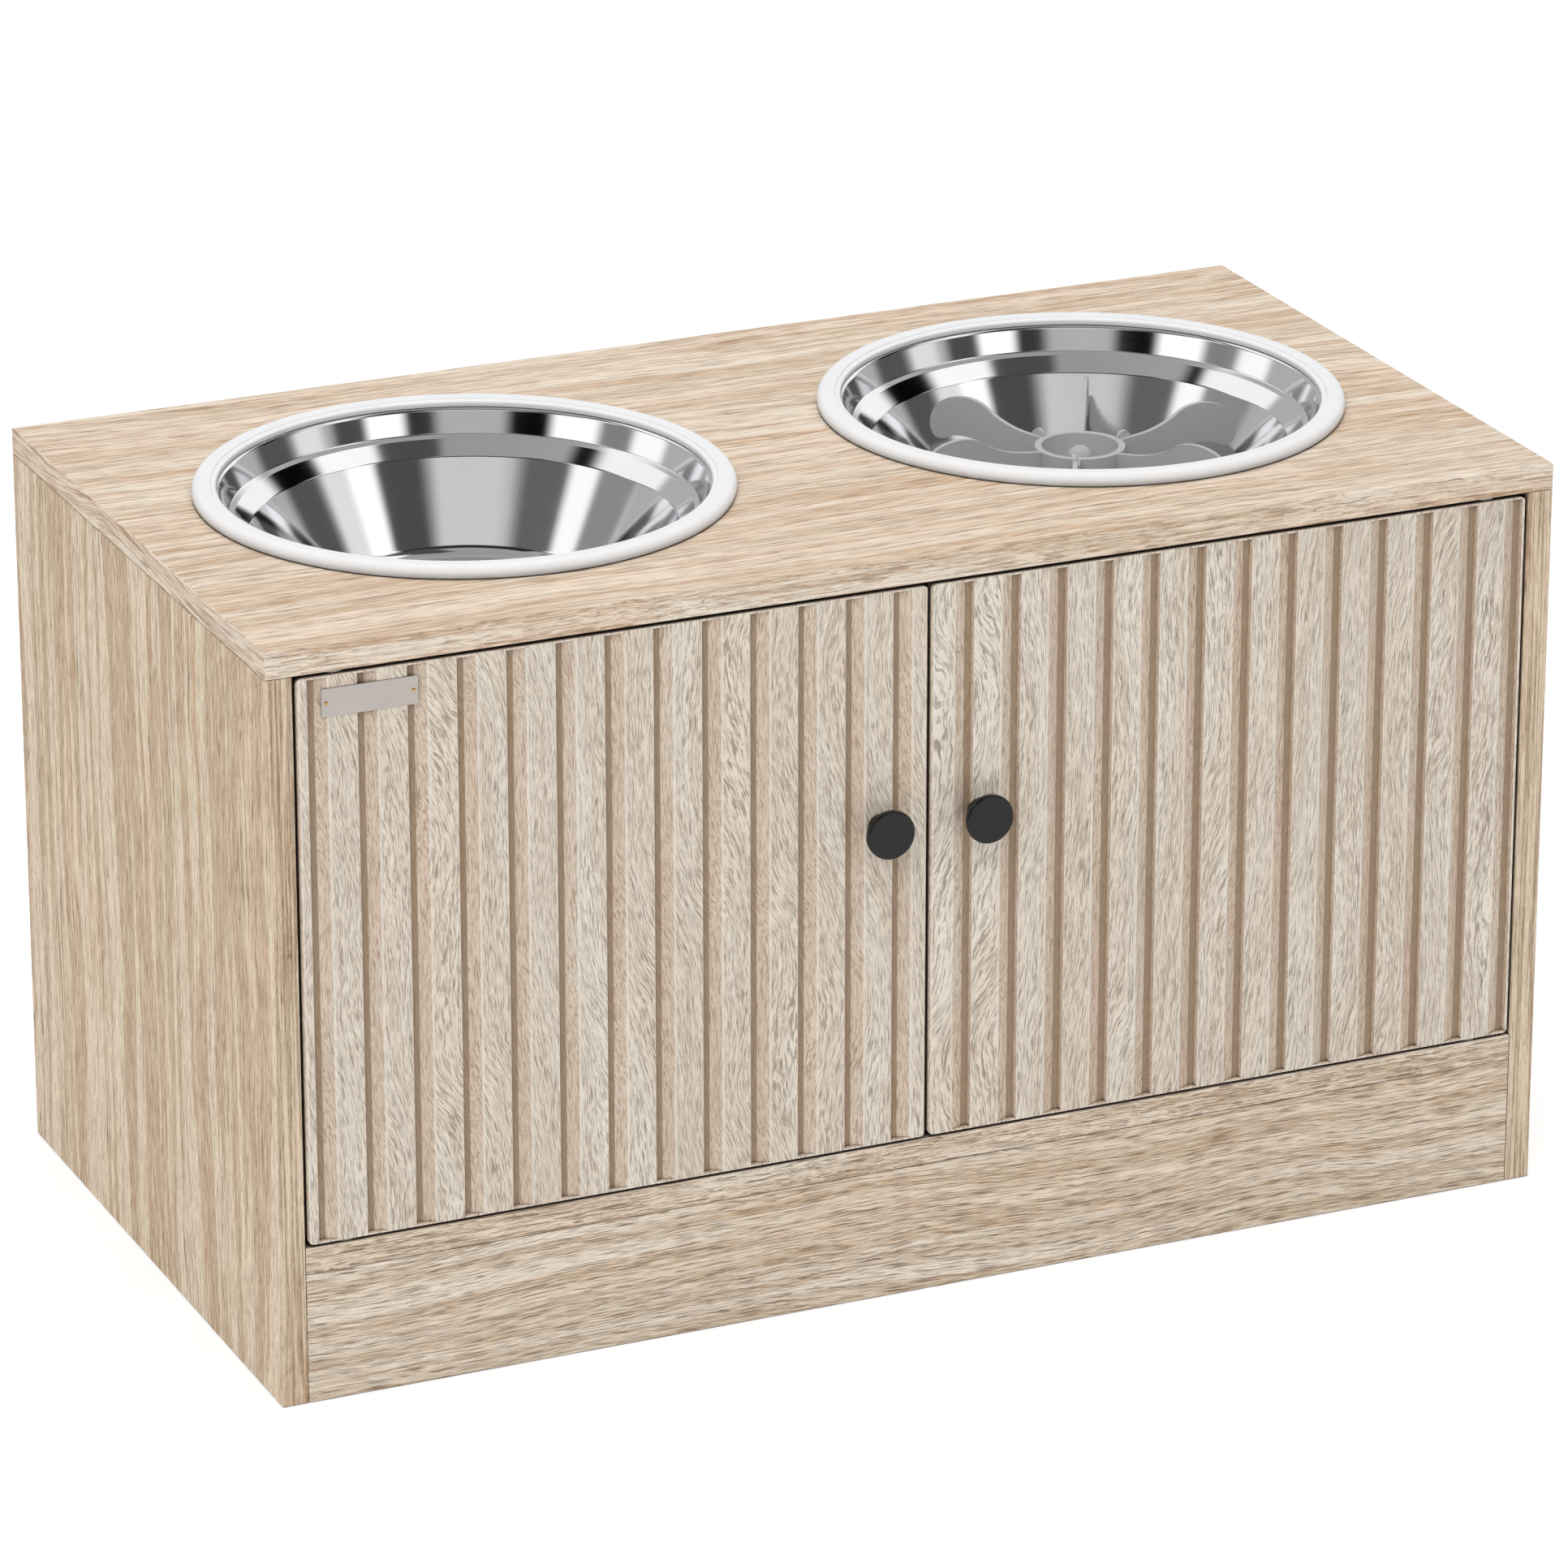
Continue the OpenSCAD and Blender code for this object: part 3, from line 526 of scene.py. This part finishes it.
def rounded_line(corners):
    """The line through corners (radius, height, fillet), with each fillet drawn as an arc."""
    lead = 0.25     # short straight run kept at both ends of each arc
    line = [Vector(corners[0][:2])]
    for before, (x, y, fillet), after in zip(corners, corners[1:], corners[2:]):
        here = Vector((x, y))
        a, b = (Vector(before[:2]) - here).normalized(), (Vector(after[:2]) - here).normalized()
        half = a.angle(b) / 2
        reach = fillet / math.tan(half)
        middle = here + (a + b).normalized() * fillet / math.sin(half)
        start, stop = here + a * reach, here + b * reach
        spoke = start - middle
        turn = spoke.angle_signed(stop - middle)
        line.append(start + a * lead)
        for k in range(ARC_STEPS + 1):
            t = -turn * k / ARC_STEPS
            line.append(middle + Vector((spoke.x * math.cos(t) - spoke.y * math.sin(t),
                                         spoke.x * math.sin(t) + spoke.y * math.cos(t))))
        line.append(stop + b * lead)
    line.append(Vector(corners[-1][:2]))
    return line


def lathe(name, centre, line, thick, made, body):
    """A sheet-metal shell turned round the vertical axis through centre. line runs from the rim to the axis."""
    on_axis = 0.1       # a point with less radius than this lies on the axis
    normals = []
    for before, after in zip([line[0]] + line[:-1], line[1:] + [line[-1]]):
        run = (after - before).normalized()
        normals.append(Vector((run.y, -run.x)))
    under = [q - n * thick if q.x > on_axis else Vector((0, q.y - thick)) for q, n in zip(line, normals)]
    points, rows = [], []
    for q in line + under[::-1]:
        if q.x < on_axis:
            rows.append([len(points)] * LATHE_SIDES)
            points.append((centre[0], centre[1], centre[2] + q.y))
            continue
        rows.append(list(range(len(points), len(points) + LATHE_SIDES)))
        for k in range(LATHE_SIDES):
            t = 2 * math.pi * k / LATHE_SIDES
            points.append((centre[0] + q.x * math.cos(t), centre[1] + q.x * math.sin(t), centre[2] + q.y))
    faces = []
    for row, following in zip(rows, rows[1:] + rows[:1]):
        for k in range(LATHE_SIDES):
            j = (k + 1) % LATHE_SIDES
            corners = [row[k], row[j], following[j], following[k]]
            face = [c for n, c in enumerate(corners) if c not in corners[:n]]
            if len(face) > 2:
                faces.append(tuple(face))
    obj = mesh_piece(name, points, faces, made, body)
    work = bmesh.new()
    work.from_mesh(obj.data)
    bmesh.ops.recalc_face_normals(work, faces=work.faces)
    work.to_mesh(obj.data)
    work.free()
    return obj


# A bowl's line from its rim to its middle: radius, height above the top board and fillet
BOWL_LINE = ((113.8, 2.2, 0), (106.7, 2.2, 2), (102, -8.5, 1.2), (99.6, -9.8, 0.9), (93, -16, 3),
             (69.83, -55, 9), (53.83, -55, 0.9), (52.83, -54.5, 0.9), (0, -54.5, 0))
polished = steel()
for name, side in (("plain_bowl", -1), ("feeder_bowl", 1)):
    bowl = lathe(name + "_steel", (side * BOWL_X, BOWL_Y, TOP), rounded_line(BOWL_LINE), STEEL,
                 polished, name)
    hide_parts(name)

rounded_box("left_door_plate", (PLATE_X[0], FRONT - PLATE_FACE, PLATE_Z[0]),
            (PLATE_X[1], FRONT + PLATE_SUNK, PLATE_Z[1]), PLATE_CORNER, PLATE_EDGE,
            brushed("plain_plate", srgb(176, 168, 162), srgb(196, 189, 184), 0.36),
            "left_door")
domes("left_door_plate_pins", PLATE_PINS, PIN_RADIUS, PIN_RISE, FRONT - PIN_ROOT,
      brushed("plate_pin", srgb(196, 158, 92), srgb(214, 178, 112), 0.28),
      "left_door")


# ---------------------------------------------------------------- floor, light and camera, in metres

FLOOR_RADIUS = 14
MIDDLE = (0, 0, 0.2)        # what the lights look at
FILL = 0.64                 # the world's strength for diffuse light

# The camera: where it stands and the direction from the object to it, in degrees
CAMERA_AT = (-1.3360, -3.0142, 1.4463)
CAMERA_AZIMUTH = -23.908
CAMERA_RISE = 20.968
CAMERA_LENS = 181.746       # mm, for a sensor of this width:
CAMERA_SENSOR = 36

# The studio as polished metal shows it: strip lights and dark gaps round a pale room.
# Each patch: from and to azimuth (0 in front, more to the right), from and to elevation, softness and
# brightness. Where two overlap, the later one covers the earlier.
PATCHES = (
    (-64, -48, 0, 31, 9, 0.0), (-92, -70, 0, 31, 8, 1.3), (-108, -95, 0, 31, 8, 0.25),
    (-128, -114, 0, 31, 7, 1.2), (-3, 5, 0, 31, 9, 0.03), (12, 26, 0, 31, 7, 1.3),
    (32, 42, 0, 31, 7, 0.08), (55, 64, 0, 31, 7, 0.9), (74, 88, 0, 31, 9, 0.1),
    (-40, -8, 33, 47, 22, 0.72), (-84, -64, 33, 46, 14, 0.14), (-104, -92, 28, 40, 8, 1.2),
    (10, 30, 33, 46, 16, 0.08), (38, 49, 31, 44, 7, 1.3), (-145, -109, 21, 39, 7, 0.3),
    (-127, -106, 42, 56, 8, 0.0), (-80, 32, 47, 58, 8, 0.02), (-166, -128, 29, 52, 8, 1.1),
    (14, 54, 52, 80, 16, 0.08), (60, 85, 44, 66, 7, 1.2), (91, 108, 24, 46, 8, 0.0),
    (114, 132, 6, 32, 8, 1.1),
)
PATCH_EDGE = 4              # degrees of elevation over which a patch fades


def stage_floor():
    mesh = bpy.data.meshes.new("floor")
    turns = [math.radians(a) for a in range(0, 360, 10)]
    ring = [(FLOOR_RADIUS * math.cos(a), FLOOR_RADIUS * math.sin(a), 0) for a in turns]
    mesh.from_pydata(ring, [], [tuple(range(len(ring)))])
    floor = bpy.data.objects.new("floor", mesh)
    scene.collection.objects.link(floor)
    m, g, shader = material("floor_paint")
    tint = g.noise(g.scaled(object_mm(g), 0.002, 0.002, 0.002), 2.0)
    paint(g, shader, g.blend(tint, srgb(240, 240, 240), srgb(244, 244, 244)), 0.9,
          {"Specular IOR Level": 0.1})
    # The camera, reflections and rays through clear things see it lifted to white, shadow kept
    diffuse = g.add("BsdfDiffuse", {"Color": (0.5, 0.5, 0.5, 1)}).outputs[0]
    lift = g.add("Emission", {"Color": WHITE, "Strength": 0.62}).outputs[0]
    seen = g.add("AddShader", {0: diffuse, 1: lift}).outputs[0]
    path = g.add("LightPath").outputs
    through = g.larger(path["Is Glossy Ray"], path["Is Transmission Ray"])
    surface = g.mixed(g.larger(path["Is Camera Ray"], through), shader.outputs[0], seen)
    g.put(m.node_tree.nodes["Material Output"].inputs["Surface"], surface)
    mesh.materials.append(m)


def area_light(name, at, size, watts):
    """A square lamp that looks at the middle of the object and isn't seen itself."""
    data = bpy.data.lights.new(name, "AREA")
    data.shape = "RECTANGLE"
    data.size = size
    data.size_y = size
    data.energy = watts
    lamp = bpy.data.objects.new(name, data)
    lamp.location = at
    lamp.rotation_euler = (Vector(MIDDLE) - Vector(at)).to_track_quat("-Z", "Y").to_euler()
    lamp.visible_camera = False
    lamp.visible_glossy = False
    scene.collection.objects.link(lamp)


def studio():
    """White to the camera, an even fill to diffuse light, and the patched room to polished metal."""
    world = bpy.data.worlds.new("studio")
    scene.world = world
    world.use_nodes = True
    world.node_tree.nodes.clear()
    g = Graph(world.node_tree)

    x, y, z = g.split(g.add("TexCoord").outputs["Generated"])
    degrees = 180 / math.pi
    azimuth = g.times(g.math("ARCTAN2", x, g.times(y, -1.0)), degrees)
    elevation = g.times(g.math("ARCSINE", z), degrees)
    glow = g.step(elevation, 20, 90, 0.5, 0.36)
    for left, right, low, high, soft, bright in PATCHES:
        patch = g.times(g.between(azimuth, left, right, soft), g.between(elevation, low, high, PATCH_EDGE))
        glow = g.lerp(patch, glow, bright)

    def shining(strength):
        return g.add("Background", {"Color": WHITE, "Strength": strength}).outputs[0]

    path = g.add("LightPath").outputs
    lit = g.mixed(path["Is Glossy Ray"], shining(FILL), shining(glow))
    in_view = g.larger(path["Is Camera Ray"], path["Is Transmission Ray"])
    g.add("OutputWorld", {0: g.mixed(in_view, lit, shining(1.0))})


def place_camera():
    azimuth, rise = math.radians(CAMERA_AZIMUTH), math.radians(CAMERA_RISE)
    back = Vector((math.sin(azimuth) * math.cos(rise), -math.cos(azimuth) * math.cos(rise), math.sin(rise)))
    right = Vector((0, 0, 1)).cross(back).normalized()
    turn = Matrix((right, back.cross(right), back)).transposed().to_4x4()
    data = bpy.data.cameras.new("camera")
    data.sensor_width = CAMERA_SENSOR
    data.lens = CAMERA_LENS
    data.clip_end = 100
    camera = bpy.data.objects.new("camera", data)
    camera.matrix_world = Matrix.Translation(CAMERA_AT) @ turn
    scene.collection.objects.link(camera)
    scene.camera = camera


stage_floor()
area_light("key", (-2.2, -2.6, 3.2), 2.4, 52)
area_light("top", (0.3, 0.2, 3.4), 3.0, 34)
studio()
place_camera()
scene.view_settings.view_transform = "Standard"
